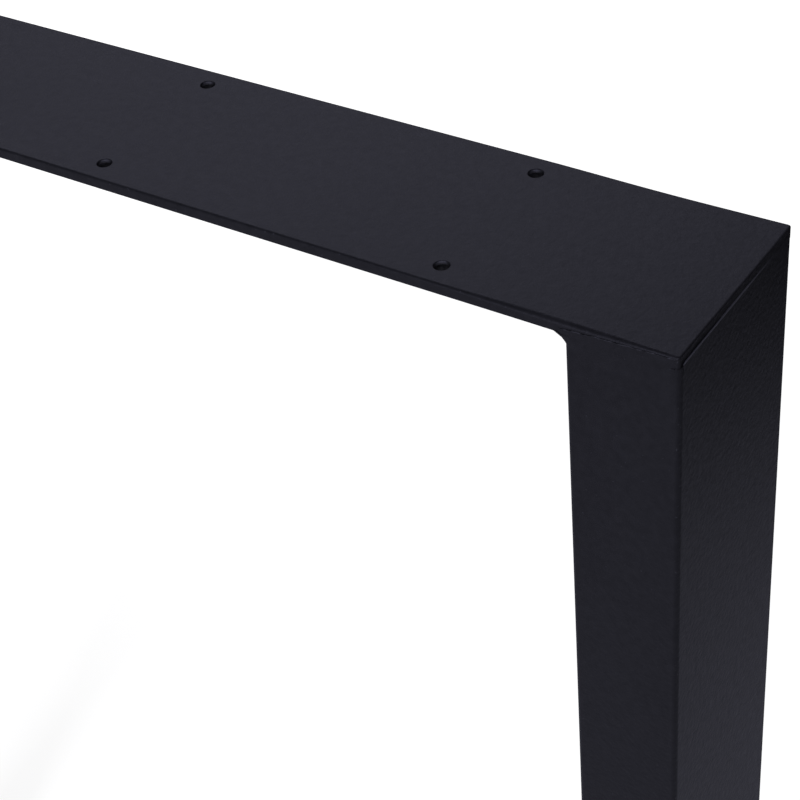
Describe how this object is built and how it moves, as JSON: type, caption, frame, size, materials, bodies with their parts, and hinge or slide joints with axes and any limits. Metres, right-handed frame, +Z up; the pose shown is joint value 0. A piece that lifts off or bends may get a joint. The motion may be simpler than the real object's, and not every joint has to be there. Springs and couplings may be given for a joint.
{
  "type": "table leg",
  "caption": "Welded U shaped table leg frame: a flat steel bar with screw holes on upright rectangular tubes, powder coated, with plastic foot plugs.",
  "frame": {"origin": "on the floor, midway between the uprights", "axes": "+X along the flat bar, +Y across it, +Z up"},
  "size_m": [0.6, 0.08, 0.72],
  "materials": {
    "powder_coat": "matt, fine texture",
    "foot_plastic": "matt, moulded"
  },
  "bodies": {
    "root": {"top_plate": "powder_coat", "left_leg_tube": "powder_coat", "right_leg_tube": "powder_coat", "left_inner_weld": "powder_coat", "right_inner_weld": "powder_coat", "left_seam_welds": "powder_coat", "right_seam_welds": "powder_coat", "left_foot_plug": "foot_plastic", "right_foot_plug": "foot_plastic"}
  },
  "joints": []
}
